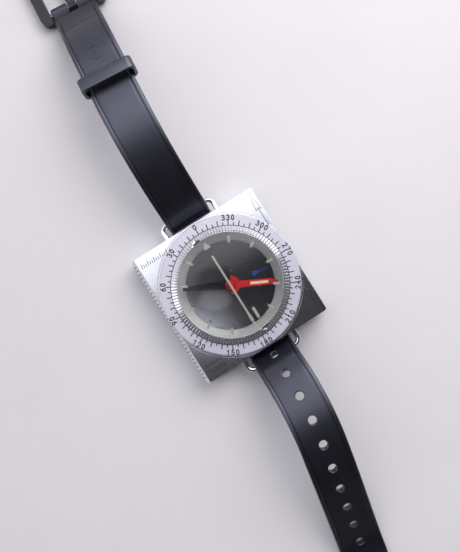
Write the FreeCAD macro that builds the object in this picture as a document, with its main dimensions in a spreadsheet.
"""Wrist compass: a square ruled case, a turning liquid-filled dial and a one-piece rubber strap.

Frame: millimetres, +Z up out of the dial, +Y the direction of travel (towards the buckle),
+X to the right of it. The origin is on the underside of the strap, below the dial's axis.
"""
import FreeCAD, Part
import math
import os

import Sketcher

V = FreeCAD.Vector
UP = V(0, 0, 1)

doc = FreeCAD.newDocument("WristCompass")

# ---------------------------------------------------------------- driving dimensions
SIZES = {
    # strap
    "strap_thick": 2.0, "strap_width": 14.0, "strap_hole_r": 1.3, "hole_pitch": 7.6,
    "hole_start": 2.0, "hole_count": 11,
    # case
    "case_floor": 2.1, "case_top": 9.9, "case_length": 42.9, "case_width": 41.0,
    "case_bevel_run": 1.3, "case_bevel_drop": 2.2, "case_round": 0.8,
    "dial_bore_r": 16.7, "clip_bore_r": 18.0, "ledge_level": 5.2,
    "back_size": 37.0, "back_thick": 1.2, "back_round": 3.0,
    "screw_offset": 15.5, "screw_r": 0.8, "screw_head_r": 1.5, "screw_head_tall": 0.7,
    "screw_long": 4.4, "scale_pitch": 1.3, "scale_marks": 31, "scale_mark_wide": 0.24,
    "turned_line_r": 21.5,
    # lug wires
    "wire_r": 0.7, "wire_half_span": 8.9, "wire_reach": 4.35, "wire_level": 5.2,
    "wire_corner": 1.8, "wire_grip": 2.8, "wire_slack": 0.15, "tuck_r": 1.6,
    # capsule
    "cup_r": 16.62, "cup_floor_level": 3.6, "cup_inside_level": 5.6, "neck_r": 16.2,
    "neck_level": 10.0, "rim_level": 12.0, "dial_floor_r": 13.5, "dial_wall_r": 15.6,
    "slope_top_level": 8.6, "clip_groove_r": 16.0, "clip_groove_low": 4.1,
    "clip_groove_high": 4.7, "well_r": 8.5, "well_deep": 1.1, "way_offset": 5.0,
    "plug_offset": 11.0, "plug_r": 0.9,
    # bezel and fluted ring
    "bezel_r": 21.1, "bezel_top": 11.6, "bezel_edge": 0.4, "flute_count": 120,
    "ring_r": 17.55, "ring_low": 11.65, "ring_step": 12.1, "ring_top": 13.35,
    "ring_crest_r": 15.85, "ring_lip_r": 15.65, "ring_lip_level": 13.05, "flute_wide": 0.76,
    "flute_deep": 0.28, "notch_wide": 3.8, "notch_deep": 0.9, "notch_turn": 7.5,
    # crystal
    "crystal_r": 16.15, "crystal_low": 12.2, "crystal_shoulder": 13.0,
    "crystal_crest_r": 15.6, "crystal_top": 13.5, "crystal_dome": 420.0,
    "mark_thick": 0.12, "mark_inner_r": 12.6, "mark_outer_r": 14.5, "mark_wide": 0.7,
    "pointer_wide": 2.3, "line_wide": 0.62, "line_tail_wide": 0.95, "line_front": 10.1,
    "line_tail": 12.4, "side_bar_offset": 2.1, "side_bar_wide": 0.85,
    "side_bar_inner": 9.1, "side_bar_outer": 12.6, "arrow_root": 7.4, "arrow_tip": 13.2,
    "arrow_wide": 1.7, "arrow_turn": 6.7, "floor_top": 5.9, "boss_r": 1.3, "boss_tall": 1.6,
    "clip_r": 17.7,
    # needle
    "needle_level": 9.3, "needle_thick": 0.3, "needle_reach": 14.2, "hub_r": 1.5,
    "needle_turn": 26.8, "needle_arm_wide": 1.8, "jewel_r": 0.75,
    "hub_top": 11.0, "pin_r": 0.45, "pin_top": 10.3,
    # keeper
    "keeper_long": 4.0, "keeper_inside": 14.8, "keeper_gap": 4.7, "keeper_wall": 1.1,
    # buckle
    "buckle_width": 21.8, "buckle_rail": 3.3, "buckle_end": 4.2, "buckle_long": 17.0,
    "buckle_tall": 2.6, "pivot_r": 0.9, "eye_r": 2.0, "eye_bore_r": 0.95,
    "tongue_width": 2.6, "slot_width": 3.2, "tongue_long": 13.6, "bar_long": 19.4,
}

sheet = doc.addObject("Spreadsheet::Sheet", "dims")
for row, (name, value) in enumerate(SIZES.items(), start=1):
    sheet.set("A%d" % row, name)
    sheet.set("B%d" % row, str(value))
    sheet.setAlias("B%d" % row, name)
doc.recompute()


def size(name):
    """The sheet's value of one driving dimension."""
    return float(getattr(sheet, name))


def dims(text):
    """An expression in the sheet's aliases: every alias gets the sheet's name in front."""
    for name in sorted(SIZES, key=len, reverse=True):
        text = text.replace("<%s>" % name, "dims.%s" % name)
    return text


NODES = []


def keep(item, label):
    """Label one finished sub-part, so that it is written as a node."""
    item.Label = label
    NODES.append(item)
    return item


def bind(item, **expressions):
    """Bind an object's properties to expressions in the sheet."""
    for prop, text in expressions.items():
        item.setExpression(prop.replace("__", "."), dims(text))
    return item


def cylinder(name, radius, height, x="0", y="0", z="0"):
    item = doc.addObject("Part::Cylinder", name)
    return bind(item, Radius=radius, Height=height, Placement__Base__x=x,
                Placement__Base__y=y, Placement__Base__z=z)


def cut(name, base, tool):
    item = doc.addObject("Part::Cut", name)
    item.Base = base
    item.Tool = tool
    return item


def fuse(name, *shapes):
    item = doc.addObject("Part::MultiFuse", name)
    item.Shapes = list(shapes)
    return item


def washer(label, outer, inner, low, tall):
    """A plain ring about the dial's axis."""
    disc = cylinder(label + "_disc", outer, tall, z=low)
    hole = cylinder(label + "_hole", inner, tall + " + 2", z="%s - 1" % low)
    return cut(label, disc, hole)


def origin_item(body, role):
    for item in body.Origin.OriginFeatures:
        if item.Role == role:
            return item
    raise ValueError(role)


def new_body(label):
    body = doc.addObject("PartDesign::Body", label)
    body.Label = label
    return body


def sketch_on(body, name, plane, lift=None):
    """An empty sketch on one of the body's own planes, lifted off it by an expression."""
    item = body.newObject("Sketcher::SketchObject", name)
    item.AttachmentSupport = (origin_item(body, plane), [""])
    item.MapMode = "FlatFace"
    if lift:
        item.setExpression("AttachmentOffset.Base.z", dims(lift))
    return item


def pin_vertex(sketch, edge, end, across, along):
    """Hold one vertex by its two distances from the sketch's origin."""
    for kind, text in (("DistanceX", across), ("DistanceY", along)):
        value = sketch.evalExpression(dims(text))
        value = float(getattr(value, "Value", value))
        index = sketch.addConstraint(Sketcher.Constraint(kind, edge, end, value))
        sketch.setExpression("Constraints[%d]" % index, dims(text))


def polygon(sketch, corners):
    """A closed outline of straight edges, each corner bound to expressions."""
    first = sketch.GeometryCount
    count = len(corners)
    values = []
    for across, along in corners:
        pair = [sketch.evalExpression(dims(text)) for text in (across, along)]
        values.append(V(*[float(getattr(v, "Value", v)) for v in pair], 0))
    for k in range(count):
        sketch.addGeometry(Part.LineSegment(values[k], values[(k + 1) % count]), False)
    for k in range(count):
        nxt = first + (k + 1) % count
        sketch.addConstraint(Sketcher.Constraint("Coincident", first + k, 2, nxt, 1))
        pin_vertex(sketch, first + k, 1, *corners[k])


def circle(sketch, x, y, radius):
    """A circle whose centre and radius are bound to expressions."""
    index = sketch.addGeometry(Part.Circle(V(1, 1, 0), UP, 1.0), False)
    pin_vertex(sketch, index, 3, x, y)
    bound = sketch.addConstraint(Sketcher.Constraint("Radius", index, 1.0))
    sketch.setExpression("Constraints[%d]" % bound, dims(radius))


def pad(body, sketch, name, length):
    item = body.newObject("PartDesign::Pad", name)
    item.Profile = sketch
    item.setExpression("Length", dims(length))
    return item


def pocket(body, sketch, name, depth, upwards, both_ways=False):
    """Cut a sketch into the body, along its plane's normal or against it."""
    before = solid_volume(body)
    item = body.newObject("PartDesign::Pocket", name)
    item.Profile = sketch
    item.setExpression("Length", dims(depth))
    item.Reversed = upwards
    if both_ways:
        item.SideType = "Symmetric"
    doc.recompute()
    if abs(item.Shape.Volume - before) < 1e-6:
        raise RuntimeError("pocket %s cuts nothing" % name)
    return item


def solid_volume(body):
    doc.recompute()
    return body.Shape.Volume


def revolved(label, corners):
    """A body turned about the dial's axis from an outline of radius and height."""
    body = new_body(label)
    outline = sketch_on(body, label + "_outline", "XZ_Plane")
    polygon(outline, corners)
    turn = body.newObject("PartDesign::Revolution", label + "_turned")
    turn.Profile = outline
    turn.ReferenceAxis = (outline, ["V_Axis"])
    turn.Angle = 360
    doc.recompute()
    return body


def rectangle(width, length, x0="0", y0="0"):
    """Corners of a rectangle centred on (x0, y0)."""
    return [("%s - (%s) / 2" % (x0, width), "%s - (%s) / 2" % (y0, length)),
            ("%s + (%s) / 2" % (x0, width), "%s - (%s) / 2" % (y0, length)),
            ("%s + (%s) / 2" % (x0, width), "%s + (%s) / 2" % (y0, length)),
            ("%s - (%s) / 2" % (x0, width), "%s + (%s) / 2" % (y0, length))]


def solid_feature(label, shape):
    """A sub-part whose shape is made with Part's own functions from the sheet's values."""
    item = doc.addObject("Part::Feature", label)
    item.Shape = shape
    return keep(item, label)


def round_edges(body, name, radius, wanted):
    """Round the edges of the body's tip that the test picks."""
    doc.recompute()
    base = body.Tip
    names = ["Edge%d" % (k + 1) for k, edge in enumerate(base.Shape.Edges) if wanted(edge)]
    item = body.newObject("PartDesign::Fillet", name)
    item.Base = (base, names)
    item.setExpression("Radius", dims(radius))
    doc.recompute()
    return item


def is_upright(edge):
    """A straight edge along Z."""
    if len(edge.Vertexes) != 2:
        return False
    run = edge.Vertexes[1].Point.sub(edge.Vertexes[0].Point)
    return abs(run.x) < 1e-6 and abs(run.y) < 1e-6 and abs(run.z) > 1e-3


# ---------------------------------------------------------------- case
def make_case_plate():
    """The square case: a bevelled ruler on its left, a plain right side, a stepped bore."""
    body = new_body("case_plate")
    top, low = "<case_top>", "<case_floor>"
    half, foot = "<case_width> / 2", "<case_width> / 2 + <case_bevel_run>"
    plan = sketch_on(body, "case_plan", "XY_Plane", low)
    polygon(plan, rectangle("<case_width> + <case_bevel_run>", "<case_length>",
                            "-<case_bevel_run> / 2"))
    pad(body, plan, "case_block", "<case_top> - <case_floor>")
    round_edges(body, "case_corners", "<case_round>", is_upright)
    wedge = sketch_on(body, "bevel_wedge", "XZ_Plane")
    polygon(wedge, [("-(%s)" % half, top),
                    ("-(%s)" % foot, "<case_top> - <case_bevel_drop>"),
                    ("-(%s + 1)" % foot, "<case_top> - <case_bevel_drop>"),
                    ("-(%s + 1)" % foot, "<case_top> + 1"),
                    ("-(%s)" % half, "<case_top> + 1")])
    pocket(body, wedge, "bevel", "<case_length> + 2", True, both_ways=True)

    bore = sketch_on(body, "dial_bore_ring", "XY_Plane", low)
    circle(bore, "0", "0", "<dial_bore_r>")
    pocket(body, bore, "dial_bore", "<case_top> - <case_floor> + 1", True)
    clip = sketch_on(body, "clip_bore_ring", "XY_Plane", low)
    circle(clip, "0", "0", "<clip_bore_r>")
    pocket(body, clip, "clip_bore", "<ledge_level> - <case_floor>", True)
    seat = sketch_on(body, "back_seat_square", "XY_Plane", low)
    polygon(seat, rectangle("<back_size> + 0.1", "<back_size> + 0.1"))
    pocket(body, seat, "back_seat", "<back_thick>", True)

    holes = sketch_on(body, "screw_hole_rings", "XY_Plane", low)
    for sx in ("", "-"):
        for sy in ("", "-"):
            circle(holes, sx + "<screw_offset>", sy + "<screw_offset>", "<screw_r> + 0.02")
    pocket(body, holes, "screw_holes", "<screw_long> + 0.3", True)

    for name, sign in (("front", -1), ("rear", 1)):
        ring = sketch_on(body, "wire_rings_" + name, "XZ_Plane",
                         "%d * <case_length> / 2" % sign)
        for sx in ("", "-"):
            circle(ring, sx + "<wire_half_span>", "<wire_level>", "<wire_r> + 0.02")
        pocket(body, ring, "wire_holes_" + name, "<wire_grip> + 0.2", sign < 0)
    return keep(body, "case_plate")


def engrave_case(body):
    """Scale marks on the ruler and a turned line on the top face round the bezel."""
    marks = sketch_on(body, "scale_mark", "XY_Plane", "<case_top> - <case_bevel_drop>")
    first = "-<scale_pitch> * (<scale_marks> - 1) / 2"
    centre = "-(<case_width> / 2 + <case_bevel_run> - 0.35)"
    polygon(marks, rectangle("0.9", "<scale_mark_wide>", centre, first))
    tick = pocket(body, marks, "scale_tick", "<case_bevel_drop>", True)
    row = body.newObject("PartDesign::LinearPattern", "scale_ticks")
    row.Originals = [tick]
    row.Direction = (origin_item(body, "Y_Axis"), [""])
    row.setExpression("Length", dims("<scale_pitch> * (<scale_marks> - 1)"))
    row.setExpression("Occurrences", dims("<scale_marks>"))
    body.Tip = row
    doc.recompute()
    line = sketch_on(body, "turned_line_rings", "XY_Plane", "<case_top>")
    circle(line, "0", "0", "<turned_line_r>")
    circle(line, "0", "0", "<turned_line_r> + 0.16")
    pocket(body, line, "turned_line", "0.1", False)


def make_case_back():
    """Flat plate let into the underside, with countersunk screw holes in its corners."""
    body = new_body("case_back")
    plan = sketch_on(body, "back_plan", "XY_Plane", "<case_floor>")
    polygon(plan, rectangle("<back_size>", "<back_size>"))
    pad(body, plan, "back_blank", "<back_thick>")
    round_edges(body, "back_corners", "<back_round>", is_upright)
    for name, radius, depth in (("screw_ways", "<screw_r> + 0.1", "<back_thick>"),
                                ("head_seats", "<screw_head_r> + 0.05", "<screw_head_tall>")):
        rings = sketch_on(body, name + "_rings", "XY_Plane", "<case_floor>")
        for sx in ("", "-"):
            for sy in ("", "-"):
                circle(rings, sx + "<screw_offset>", sy + "<screw_offset>", radius)
        pocket(body, rings, name, depth, True)
    return keep(body, "case_back")


def make_back_screws():
    """Four slotted cheese-head screws that hold the case back."""
    screws = []
    for k, (sx, sy) in enumerate(((1, 1), (-1, 1), (-1, -1), (1, -1))):
        x, y = "%d * <screw_offset>" % sx, "%d * <screw_offset>" % sy
        shank = cylinder("screw_shank_%d" % k, "<screw_r>", "<screw_long>",
                         x, y, "<case_floor> + 0.05")
        head = cylinder("screw_head_%d" % k, "<screw_head_r>", "<screw_head_tall> - 0.05",
                        x, y, "<case_floor> + 0.05")
        slot = doc.addObject("Part::Box", "screw_slot_%d" % k)
        bind(slot, Length="2 * <screw_head_r>", Width="0.35", Height="0.35",
             Placement__Base__x=x + " - <screw_head_r>", Placement__Base__y=y + " - 0.175",
             Placement__Base__z="<case_floor>")
        screws.append(cut("screw_%d" % k, fuse("screw_blank_%d" % k, shank, head), slot))
    group = doc.addObject("Part::Compound", "back_screws")
    group.Links = screws
    return keep(group, "back_screws")


def wire_loop(label, sign):
    """A bent wire bail: two arms in the case's end wall and the bar that the strap rounds."""
    span, reach = size("wire_half_span"), size("case_length") / 2 + size("wire_reach")
    inner, level = size("case_length") / 2 - size("wire_grip"), size("wire_level")
    bend = size("wire_corner")
    skew = bend * (1 - math.sqrt(0.5))
    points = [V(-span, inner, level), V(-span, reach - bend, level),
              V(-span + skew, reach - skew, level), V(-span + bend, reach, level),
              V(span - bend, reach, level), V(span - skew, reach - skew, level),
              V(span, reach - bend, level), V(span, inner, level)]
    points = [V(p.x, sign * p.y, p.z) for p in points]
    path = Part.Wire([Part.makeLine(points[0], points[1]),
                      Part.Arc(*points[1:4]).toShape(),
                      Part.makeLine(points[3], points[4]),
                      Part.Arc(*points[4:7]).toShape(),
                      Part.makeLine(points[6], points[7])])
    section = Part.Wire([Part.makeCircle(size("wire_r"), points[0], V(0, 1, 0))])
    return solid_feature(label, path.makePipeShell([section], True, False))


# ---------------------------------------------------------------- turning dial
def make_capsule_cup():
    """The cup that holds the liquid: floor, sloping wall, bored wall and threaded neck."""
    body = revolved("capsule_cup", [
        ("0", "<cup_floor_level>"), ("<cup_r>", "<cup_floor_level>"),
        ("<cup_r>", "<clip_groove_low>"), ("<clip_groove_r>", "<clip_groove_low>"),
        ("<clip_groove_r>", "<clip_groove_high>"), ("<cup_r>", "<clip_groove_high>"),
        ("<cup_r>", "<neck_level>"), ("<neck_r>", "<neck_level>"),
        ("<neck_r>", "<rim_level>"), ("<dial_wall_r>", "<rim_level>"),
        ("<dial_wall_r>", "<slope_top_level>"), ("<dial_floor_r>", "<cup_inside_level>"),
        ("0", "<cup_inside_level>")])
    well = sketch_on(body, "diaphragm_well_ring", "XY_Plane", "<cup_floor_level>")
    circle(well, "0", "0", "<well_r>")
    pocket(body, well, "diaphragm_well", "<well_deep>", True)
    ways = sketch_on(body, "liquid_way_rings", "XY_Plane", "<cup_floor_level>")
    circle(ways, "<way_offset>", "0", "0.5")
    circle(ways, "-<way_offset>", "0", "0.5")
    circle(ways, "<plug_offset>", "0", "<plug_r> + 0.02")
    pocket(body, ways, "liquid_ways", "<cup_inside_level> - <cup_floor_level>", True)
    return keep(body, "capsule_cup")


def make_bezel():
    """The degree ring that the fingers turn; it overhangs the ruled edges a little."""
    inner = "<neck_r> + 0.05"
    return keep(revolved("degree_bezel", [
        (inner, "<neck_level> + 0.02"), ("<bezel_r> - <bezel_edge>", "<neck_level> + 0.02"),
        ("<bezel_r>", "<neck_level> + 0.02 + <bezel_edge>"),
        ("<bezel_r>", "<bezel_top> - <bezel_edge>"),
        ("<bezel_r> - <bezel_edge>", "<bezel_top>"), (inner, "<bezel_top>")]),
        "degree_bezel")


def make_crystal_ring():
    """The fluted ring that screws down on the crystal, with two opposed sighting notches."""
    inner, outer = size("neck_r") + 0.05, size("ring_r")
    corners = [(inner, size("ring_low")), (outer, size("ring_low")),
               (outer, size("ring_step")), (size("ring_crest_r"), size("ring_top")),
               (size("ring_lip_r"), size("ring_top")),
               (size("ring_lip_r"), size("ring_lip_level")), (inner, size("ring_lip_level"))]
    outline = Part.makePolygon([V(r, 0, z) for r, z in corners + corners[:1]])
    ring = Part.Face(outline).revolve(V(0, 0, 0), UP, 360)
    fall = size("ring_top") - size("ring_step")
    run = outer - size("ring_crest_r")
    lean = math.degrees(math.atan2(fall, run))
    slope_long = math.hypot(fall, run) + 1.0
    half, deep = size("flute_wide") / 2, size("flute_deep")
    bevel = Part.Face(Part.makePolygon([V(0, -half, deep), V(0, 0, -deep), V(0, half, deep),
                                        V(0, -half, deep)]))
    cutter = bevel.extrude(V(slope_long, 0, 0))
    cutter.translate(V(-0.5, 0, 0))
    cutter.rotate(V(0, 0, 0), V(0, 1, 0), lean)
    cutter.translate(V(size("ring_crest_r"), 0, size("ring_top")))
    count = int(size("flute_count"))
    cutters = []
    for k in range(count):
        one = cutter.copy()
        one.rotate(V(0, 0, 0), UP, 360.0 * k / count)
        cutters.append(one)
    notch = Part.Face(Part.makePolygon([
        V(0, -size("notch_wide") / 2, size("ring_top") + 0.2),
        V(0, 0, size("ring_top") - size("notch_deep")),
        V(0, size("notch_wide") / 2, size("ring_top") + 0.2),
        V(0, -size("notch_wide") / 2, size("ring_top") + 0.2)])).extrude(V(3, 0, 0))
    notch.translate(V(size("ring_lip_r") - 0.5, 0, 0))
    for turn in (90 + size("notch_turn"), 270 + size("notch_turn")):
        one = notch.copy()
        one.rotate(V(0, 0, 0), UP, turn)
        cutters.append(one)
    return solid_feature("crystal_ring", ring.cut(cutters))


def make_crystal():
    """The window: a stepped disc with a slightly domed top."""
    foot = cylinder("crystal_foot", "<crystal_r>", "<crystal_shoulder> - <crystal_low>",
                    z="<crystal_low>")
    crest = cylinder("crystal_crest", "<crystal_crest_r>", "<crystal_top> - <crystal_low>",
                     z="<crystal_low>")
    ball = doc.addObject("Part::Sphere", "crystal_ball")
    bind(ball, Radius="<crystal_dome>", Placement__Base__z="<crystal_top> - <crystal_dome>")
    dome = doc.addObject("Part::Common", "crystal")
    dome.Base = fuse("crystal_blank", foot, crest)
    dome.Tool = ball
    return keep(dome, "crystal")


def plate(corners, low, tall, turn=0.0):
    """A thin flat piece from plan corners, turned about the dial's axis."""
    face = Part.Face(Part.makePolygon([V(x, y, low) for x, y in corners + corners[:1]]))
    solid = face.extrude(V(0, 0, tall))
    solid.rotate(V(0, 0, 0), UP, turn)
    return solid


def make_marks():
    """Luminous marks under the crystal, the needle's line and the blue arrow on the floor."""
    thick = size("mark_thick")
    low = size("crystal_low") - thick
    inner, outer, half = size("mark_inner_r"), size("mark_outer_r"), size("mark_wide") / 2
    bars = [plate([(inner, -half), (outer, -half), (outer, half), (inner, half)],
                  low, thick, 90 + 30 * k) for k in range(1, 12)]
    wide = size("pointer_wide") / 2
    bars.append(plate([(-wide, inner), (wide, inner), (0, outer + 0.2)], low, thick))
    solid_feature("luminous_markers", Part.makeCompound(bars))

    thin, broad = size("line_wide") / 2, size("line_tail_wide") / 2
    front, tail = size("line_front"), size("line_tail")
    solid_feature("orienting_line", plate(
        [(-thin, front), (-thin, 3 - tail), (-broad, 1 - tail), (-broad, -tail),
         (broad, -tail), (broad, 1 - tail), (thin, 3 - tail), (thin, front)], low, thick))
    x, wide = size("side_bar_offset"), size("side_bar_wide") / 2
    solid_feature("side_bar", plate(
        [(x - wide, -size("side_bar_inner")), (x - wide, -size("side_bar_outer")),
         (x + wide, -size("side_bar_outer")), (x + wide, -size("side_bar_inner"))], low, thick))
    root, tip = size("arrow_root"), size("arrow_tip")
    waist = root + 0.32 * (tip - root)
    solid_feature("meridian_arrow", plate(
        [(root, -size("arrow_wide") / 2), (waist, -0.28), (tip, -0.04), (tip, 0.04),
         (waist, 0.28), (root, size("arrow_wide") / 2)],
        size("floor_top"), 0.06, -size("arrow_turn")))


def make_capsule_parts():
    """Everything else that turns with the cup."""
    level = "<cup_inside_level>"
    keep(washer("capsule_floor", "<dial_floor_r> - 0.05", "<boss_r> + 0.05", level,
                "<floor_top> - <cup_inside_level>"), "capsule_floor")
    keep(washer("crystal_gasket", "<neck_r> - 0.05", "<dial_wall_r> + 0.05", "<rim_level>",
                "<crystal_low> - <rim_level>"), "crystal_gasket")
    keep(washer("diaphragm_ring", "<well_r> - 0.04", "<well_r> - 1.9",
                "<cup_floor_level> + 0.02", "0.25"), "diaphragm_ring")
    keep(cylinder("expansion_diaphragm", "<well_r> - 0.1", "0.4",
                  z="<cup_floor_level> + 0.3"), "expansion_diaphragm")
    keep(cylinder("fill_plug", "<plug_r>", "<cup_inside_level> - <cup_floor_level> - 0.2",
                  x="<plug_offset>", z="<cup_floor_level> + 0.1"), "fill_plug")

    boss = doc.addObject("Part::Cone", "boss_cone")
    bind(boss, Radius1="<boss_r>", Radius2="<pin_r> + 0.25", Height="<boss_tall>",
         Placement__Base__z=level)
    bore = cylinder("boss_bore", "<pin_r> + 0.01", "<boss_tall> + 1", z=level)
    keep(cut("pivot_boss", boss, bore), "pivot_boss")
    shank = cylinder("pin_shank", "<pin_r>", "<pin_top> - 0.7 - <cup_inside_level>", z=level)
    point = doc.addObject("Part::Cone", "pin_point")
    bind(point, Radius1="<pin_r>", Radius2="0.05", Height="0.7",
         Placement__Base__z="<pin_top> - 0.7")
    keep(fuse("pivot_pin", shank, point), "pivot_pin")

    ring = washer("clip_blank", "<clip_r>", "<clip_groove_r> + 0.05",
                  "<clip_groove_low> + 0.05", "0.45")
    gap = doc.addObject("Part::Box", "clip_gap")
    bind(gap, Length="5", Width="<clip_r>", Height="2", Placement__Base__x="-2.5",
         Placement__Base__y="-<clip_r> - 3", Placement__Base__z="<clip_groove_low> - 0.5")
    keep(cut("retaining_clip", ring, gap), "retaining_clip")


def make_friction_washer():
    """The flat washer that gives the dial its drag; it stays with the case."""
    return keep(washer("friction_washer", "<clip_r>", "<cup_r> + 0.12",
                       "<clip_groove_high>", "<ledge_level> - <clip_groove_high> - 0.05"),
                "friction_washer")


# ---------------------------------------------------------------- needle
def make_needle():
    """The balanced needle, drawn pointing along +X and turned to where it lies."""
    turn = -size("needle_turn")
    low, tall, reach = size("needle_level"), size("needle_thick"), size("needle_reach")
    arm, hub = size("needle_arm_wide") / 2, size("hub_r")

    def at_rest(shape):
        shape.rotate(V(0, 0, 0), UP, turn)
        return shape

    outer, inner, mid = hub + 1.35, hub + 0.08, hub + 0.7
    crescent = Part.makeCylinder(outer, tall, V(0, 0, low)).cut(
        Part.makeCylinder(inner, tall, V(0, 0, low)))
    crescent = crescent.cut(Part.makeBox(2 * outer, 4 * outer, tall,
                                         V(-2 * outer + 0.1, -2 * outer, low)))
    shaft = plate([(mid, -arm * 1.1), (reach - 2.2, -arm), (reach, -0.25), (reach, 0.25),
                   (reach - 2.2, arm), (mid, arm * 1.1)], low, tall)
    root, tip = reach - 8.25, reach - 2.85
    root_half, tip_half, gap = arm * 0.48, arm * 0.44, 0.02
    window = plate([(root, -root_half), (tip, -tip_half), (tip, tip_half),
                    (root, root_half)], low + tall / 2, tall)
    north = crescent.fuse(shaft).removeSplitter().cut(window)
    solid_feature("needle_north", at_rest(north))
    lume = plate([(root + gap, gap - root_half), (tip - gap, gap - tip_half),
                  (tip - gap, tip_half - gap), (root + gap, root_half - gap)],
                 low + tall / 2, tall * 0.6)
    solid_feature("needle_lume", at_rest(lume))

    south = plate([(-hub - 0.05, -1.3), (-hub - 0.05, 1.3), (-reach, 0.65), (-reach, -0.65)],
                  low, tall)
    south = south.cut(Part.makeCylinder(inner, tall, V(0, 0, low)))
    solid_feature("needle_south", at_rest(south))

    hub_body = revolved("needle_hub", [
        ("<pin_r> + 0.45", "<needle_level> - 0.3"), ("<hub_r>", "<needle_level> - 0.3"),
        ("<hub_r>", "<needle_level> + 0.9"), ("<hub_r> - 0.4", "<hub_top>"),
        ("0", "<hub_top>"), ("0", "<pin_top> + 0.35"), ("<jewel_r> + 0.02", "<pin_top> + 0.35"),
        ("<jewel_r> + 0.02", "<pin_top> - 0.3"), ("<pin_r> + 0.45", "<pin_top> - 0.3")])
    keep(hub_body, "needle_hub")
    jewel = revolved("pivot_jewel", [
        ("0", "<pin_top> + 0.03"), ("0.35", "<pin_top> - 0.28"), ("<jewel_r>", "<pin_top> - 0.28"),
        ("<jewel_r>", "<pin_top> + 0.33"), ("0", "<pin_top> + 0.33")])
    keep(jewel, "pivot_jewel")


# ---------------------------------------------------------------- strap
def walk(start, heading, steps):
    """Follow straight runs and tangent bends in a plane: a list of (kind, data) pieces."""
    x, y = start
    angle = math.radians(heading)
    pieces = []
    for step in steps:
        if step[0] == "run":
            x2, y2 = x + step[1] * math.cos(angle), y + step[1] * math.sin(angle)
            pieces.append(("run", (x, y), (x2, y2), angle, angle, None))
        else:
            radius, turn = step[1], math.radians(step[2])
            side = 1 if turn > 0 else -1
            centre = (x - side * radius * math.sin(angle), y + side * radius * math.cos(angle))
            end = angle + turn
            x2 = centre[0] + side * radius * math.sin(end)
            y2 = centre[1] - side * radius * math.cos(end)
            pieces.append(("bend", (x, y), (x2, y2), angle, end, centre))
        x, y, angle = x2, y2, pieces[-1][4]
    return pieces


def offset_point(point, angle, distance):
    return (point[0] - distance * math.sin(angle), point[1] + distance * math.cos(angle))


def band(pieces, half, place, round_end=False):
    """A closed wire at a constant distance either side of a walked path."""
    sides = []
    for sign in (1, -1):
        edges = []
        for kind, start, end, a0, a1, centre in pieces:
            p0 = offset_point(start, a0, sign * half)
            p1 = offset_point(end, a1, sign * half)
            if kind == "run":
                edges.append(Part.makeLine(place(*p0), place(*p1)))
                continue
            middle = (a0 + a1) / 2
            side = 1 if a1 > a0 else -1
            radius = math.dist(start, centre)
            on_arc = (centre[0] + side * radius * math.sin(middle),
                      centre[1] - side * radius * math.cos(middle))
            pm = offset_point(on_arc, middle, sign * half)
            edges.append(Part.Arc(place(*p0), place(*pm), place(*p1)).toShape())
        sides.append(edges)
    first, last = pieces[0], pieces[-1]
    starts = [offset_point(first[1], first[3], sign * half) for sign in (1, -1)]
    ends = [offset_point(last[2], last[4], sign * half) for sign in (1, -1)]
    if round_end:
        nose = (last[2][0] + half * math.cos(last[4]), last[2][1] + half * math.sin(last[4]))
        closing = Part.Arc(place(*ends[0]), place(*nose), place(*ends[1])).toShape()
    else:
        closing = Part.makeLine(place(*ends[0]), place(*ends[1]))
    opening = Part.makeLine(place(*starts[1]), place(*starts[0]))
    return Part.Wire(Part.sortEdges(sides[0] + sides[1] + [closing, opening])[0])


def wrap(leave):
    """Steps from below the dial's axis, up past the end wall and over the bar."""
    over = size("wire_r") + size("wire_slack") + size("strap_thick") / 2
    upright = size("case_length") / 2 + size("wire_reach") - over
    tuck = size("tuck_r")
    return [("run", upright - tuck), ("bend", tuck, 90),
            ("run", size("wire_level") - size("strap_thick") / 2 - tuck),
            ("bend", over, leave - 90)]


HOLED_LEAVE = 53
HOLED_SIDE = [("run", 4.1), ("bend", 16, -32), ("bend", 40, -44), ("bend", 150, -4),
              ("run", 14.85), ("bend", 20, 27), ("run", 5)]
HOLED_PLAN = [("run", 32), ("bend", 120, -10.5), ("run", 70)]
BUCKLE_LEAVE = 40
BUCKLE_SIDE = [("bend", 50.6, -48), ("run", 12), ("bend", 24, -32), ("run", 13.75)]
BUCKLE_PLAN = [("run", 30), ("bend", 375, -5.2), ("run", 70)]


def along(pieces, distance):
    """The point and angle that lies a given distance along a walked path."""
    for kind, start, end, a0, a1, centre in pieces:
        if kind == "run":
            long = math.dist(start, end)
        else:
            long = math.dist(start, centre) * abs(a1 - a0)
        if distance <= long + 1e-9:
            share = distance / long
            angle = a0 + share * (a1 - a0)
            if kind == "run":
                return (start[0] + distance * math.cos(a0),
                        start[1] + distance * math.sin(a0)), angle
            side = 1 if a1 > a0 else -1
            radius = math.dist(start, centre)
            return (centre[0] + side * radius * math.sin(angle),
                    centre[1] - side * radius * math.cos(angle)), angle
        distance -= long
    raise ValueError("past the end of the path")


def path_length(pieces):
    total = 0.0
    for kind, start, end, a0, a1, centre in pieces:
        total += math.dist(start, end) if centre is None else (
            math.dist(start, centre) * abs(a1 - a0))
    return total


def plan_offset(pieces, reach):
    """How far to the side the plan's centre line is at a distance from the dial's axis."""
    low, high = 0.0, path_length(pieces)
    for _ in range(40):
        middle = (low + high) / 2
        point, _angle = along(pieces, middle)
        if point[0] < reach:
            low = middle
        else:
            high = middle
    return along(pieces, low)[0][1]


def strap_path(leave, side_steps):
    """One half of the strap seen from the side: distance from the dial's axis, and height."""
    return walk((0, size("strap_thick") / 2), 0, wrap(leave) + side_steps)


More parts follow.
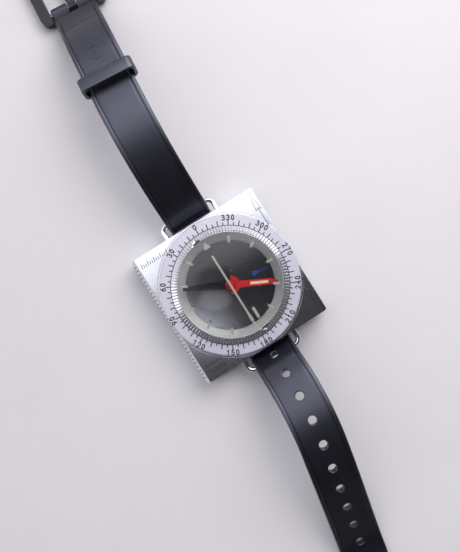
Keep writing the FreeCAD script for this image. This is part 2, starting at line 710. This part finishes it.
HOLED = strap_path(HOLED_LEAVE, HOLED_SIDE)
BUCKLED = strap_path(BUCKLE_LEAVE, BUCKLE_SIDE)
HOLED_LINE = walk((0, 0), 0, HOLED_PLAN)
BUCKLED_LINE = walk((0, 0), 0, BUCKLE_PLAN)
KEEPER_RUN = len(wrap(BUCKLE_LEAVE)) + 1
KEEPER_SHARE = 0.38


def half_strap(side_path, plan_path, sign, round_end):
    """One half of the strap: its side view pulled across, trimmed to its plan view."""
    across = 4 * size("strap_width")
    side = Part.Face(band(side_path, size("strap_thick") / 2,
                          lambda u, z: V(-across / 2, sign * u, z)))
    reach = side_path[-1][2][0]
    plan_end = [plan_path[0], plan_path[1], end_run(plan_path[2], reach, round_end)]
    plan = Part.Face(band(plan_end, size("strap_width") / 2,
                          lambda u, v: V(-sign * v, sign * u, -1), round_end))
    return side.extrude(V(across, 0, 0)).common(plan.extrude(V(0, 0, 40)))


def end_run(piece, reach, round_end):
    """The plan's last straight piece, ended where the strap's side view ends."""
    _kind, start, _end, angle, _same, _centre = piece
    tip = reach - (size("strap_width") / 2 if round_end else -5)
    long = (tip - start[0]) / math.cos(angle)
    end = (start[0] + long * math.cos(angle), start[1] + long * math.sin(angle))
    return ("run", start, end, angle, angle, None)


def buckle_place():
    """Where the buckle's bar lies: its centre and the turn of its axis about Z."""
    (reach, level) = BUCKLED[-1][2]
    shift = -plan_offset(BUCKLED_LINE, reach)
    turn = math.degrees(BUCKLED_LINE[-1][3])
    return FreeCAD.Placement(V(shift, reach, level), FreeCAD.Rotation(UP, turn))


def keeper_place():
    """Where the keeper sits: over a third of the way along the straight stretch."""
    run = BUCKLED[KEEPER_RUN]
    reach, level = [p + KEEPER_SHARE * (q - p) for p, q in zip(run[1], run[2])]
    tilt, heading = run[3], BUCKLED_LINE[-1][3]
    shift = -plan_offset(BUCKLED_LINE, reach)
    normal = V(0, -math.sin(tilt), math.cos(tilt))
    forward = V(-math.sin(heading), math.cos(heading), math.cos(heading) * math.tan(tilt))
    forward.normalize()
    side = forward.cross(normal)
    frame = FreeCAD.Matrix(side.x, forward.x, normal.x, shift,
                           side.y, forward.y, normal.y, reach,
                           side.z, forward.z, normal.z, level, 0, 0, 0, 1)
    return FreeCAD.Placement(frame)


def make_strap():
    """One-piece rubber strap: holed end, the stretch below the case, and the buckle's eye."""
    holed = half_strap(HOLED, HOLED_LINE, -1, True)
    buckled = half_strap(BUCKLED, BUCKLED_LINE, 1, False)
    width = size("strap_width")
    place = buckle_place()

    def at_buckle(shape):
        shape.Placement = place.multiply(shape.Placement)
        return shape

    eye = at_buckle(Part.makeCylinder(size("eye_r"), width, V(-width / 2, 0, 0), V(1, 0, 0)))
    bore = at_buckle(Part.makeCylinder(size("eye_bore_r"), 2 * width, V(-width, 0, 0),
                                       V(1, 0, 0)))
    slot = at_buckle(Part.makeBox(size("slot_width"), 8, 16,
                                  V(-size("slot_width") / 2, -4.5, -6)))
    strap = holed.fuse([buckled, eye]).removeSplitter()
    tools = [bore, slot]
    first = path_length(HOLED[:len(wrap(HOLED_LEAVE))]) + size("hole_start")
    for k in range(int(size("hole_count"))):
        (reach, level), slope = along(HOLED, first + k * size("hole_pitch"))
        shift = plan_offset(HOLED_LINE, reach)
        normal = V(0, math.sin(slope), math.cos(slope))
        foot = V(shift, -reach, level) - normal * 3
        tools.append(Part.makeCylinder(size("strap_hole_r"), 6, foot, normal))
    return solid_feature("strap", strap.cut(tools))


def make_keeper():
    """The loose loop that holds the strap's free end down; it slides along the strap."""
    body = new_body("strap_keeper")
    wide = "<keeper_inside> + 2 * <keeper_wall>"
    tall = "<keeper_gap> + 2 * <keeper_wall>"
    middle = "<keeper_gap> / 2 - <strap_thick> / 2 - 0.15"
    ring = sketch_on(body, "keeper_outline", "XZ_Plane")
    polygon(ring, rectangle(wide, tall, "0", middle))
    pad(body, ring, "keeper_block", "<keeper_long>").SideType = "Symmetric"
    round_edges(body, "keeper_corners", "<keeper_wall> + 0.5", is_lengthwise)
    space = sketch_on(body, "keeper_space", "XZ_Plane")
    polygon(space, rectangle("<keeper_inside>", "<keeper_gap>", "0", middle))
    pocket(body, space, "keeper_way", "<keeper_long> + 2", True, both_ways=True)
    body.Placement = keeper_place()
    return keep(body, "strap_keeper")


def is_lengthwise(edge):
    """A straight edge along Y."""
    if len(edge.Vertexes) != 2:
        return False
    run = edge.Vertexes[1].Point.sub(edge.Vertexes[0].Point)
    return abs(run.x) < 1e-6 and abs(run.z) < 1e-6 and abs(run.y) > 1e-3


# ---------------------------------------------------------------- buckle
def make_buckle():
    """The moulded frame on its steel bar, and the tongue that swings on the same bar."""
    frame = new_body("buckle_frame")
    half, back = "<buckle_width> / 2", "<eye_r> + 0.6"
    plan = sketch_on(frame, "frame_outline", "XY_Plane", "-<buckle_tall> / 2")
    polygon(plan, [("-(%s)" % half, "-(%s)" % back), (half, "-(%s)" % back),
                   (half, "<buckle_long> - (%s)" % back),
                   ("-(%s)" % half, "<buckle_long> - (%s)" % back)])
    pad(frame, plan, "frame_block", "<buckle_tall>")
    round_edges(frame, "frame_corners", "2.4", is_upright)
    window = sketch_on(frame, "frame_window", "XY_Plane", "-<buckle_tall> / 2")
    inner, rail = "<buckle_width> / 2 - <buckle_rail>", "<buckle_long> - (%s)" % back
    polygon(window, [("-(%s)" % inner, "-(%s) - 2" % back), (inner, "-(%s) - 2" % back),
                     (inner, rail + " - <buckle_end>"), ("-(%s)" % inner, rail + " - <buckle_end>")])
    pocket(frame, window, "frame_opening", "<buckle_tall>", True)
    rest = sketch_on(frame, "tongue_rest", "XY_Plane", "<buckle_tall> / 2")
    polygon(rest, rectangle("<tongue_width> + 0.5", "<buckle_end> + 2", "0",
                            rail + " - <buckle_end> / 2 + 0.9"))
    pocket(frame, rest, "tongue_groove", "1.1", False)
    ways = sketch_on(frame, "bar_way", "YZ_Plane")
    circle(ways, "0", "0", "<pivot_r> + 0.01")
    pocket(frame, ways, "bar_holes", "<bar_long> + 0.2", True, both_ways=True)
    frame.Placement = buckle_place()
    keep(frame, "buckle_frame")

    bar = new_body("buckle_bar")
    ring = sketch_on(bar, "bar_ring", "YZ_Plane")
    circle(ring, "0", "0", "<pivot_r>")
    pad(bar, ring, "bar_rod", "<bar_long>").SideType = "Symmetric"
    bar.Placement = buckle_place()
    keep(bar, "buckle_bar")

    tongue = new_body("buckle_tongue")
    boss = sketch_on(tongue, "tongue_ring", "YZ_Plane")
    circle(boss, "0", "0", "<eye_r> - 0.25")
    pad(tongue, boss, "tongue_eye", "<tongue_width>").SideType = "Symmetric"
    arm = sketch_on(tongue, "tongue_side", "YZ_Plane")
    polygon(arm, [("0", "0.35"), ("<tongue_long> - 1.6", "0.35"), ("<tongue_long>", "0.7"),
                  ("<tongue_long>", "1.1"), ("<tongue_long> - 1", "1.55"), ("0", "1.55")])
    pad(tongue, arm, "tongue_arm", "<tongue_width>").SideType = "Symmetric"
    bore = sketch_on(tongue, "tongue_bore_ring", "YZ_Plane")
    circle(bore, "0", "0", "<eye_bore_r>")
    pocket(tongue, bore, "tongue_bore", "<tongue_width> + 2", True, both_ways=True)
    tongue.Placement = buckle_place()
    keep(tongue, "buckle_tongue")


# ---------------------------------------------------------------- build and write
def build():
    plate_body = make_case_plate()
    engrave_case(plate_body)
    make_case_back()
    make_back_screws()
    wire_loop("lug_wire_front", 1)
    wire_loop("lug_wire_rear", -1)
    make_friction_washer()
    make_strap()
    make_capsule_cup()
    make_bezel()
    make_crystal_ring()
    make_crystal()
    make_marks()
    make_capsule_parts()
    make_needle()
    make_keeper()
    make_buckle()
    doc.recompute()


def check():
    """Stop before writing if any object failed or any sub-part isn't a sound solid."""
    for item in doc.Objects:
        if "Invalid" in item.State or "Error" in item.State:
            raise RuntimeError("%s: %s" % (item.Name, item.State))
    for item in NODES:
        if item.Shape.isNull() or not item.Shape.isValid() or not item.Shape.Solids:
            raise RuntimeError("%s has no sound solid" % item.Label)


def write():
    os.makedirs("parts", exist_ok=True)
    for item in NODES:
        item.Shape.exportStep("parts/%s.step" % item.Label)
        box = item.Shape.BoundBox
        print("%-22s %9.2f mm3  x %.1f..%.1f  y %.1f..%.1f  z %.2f..%.2f" % (
            item.Label, item.Shape.Volume, box.XMin, box.XMax, box.YMin, box.YMax,
            box.ZMin, box.ZMax))


build()
check()
write()
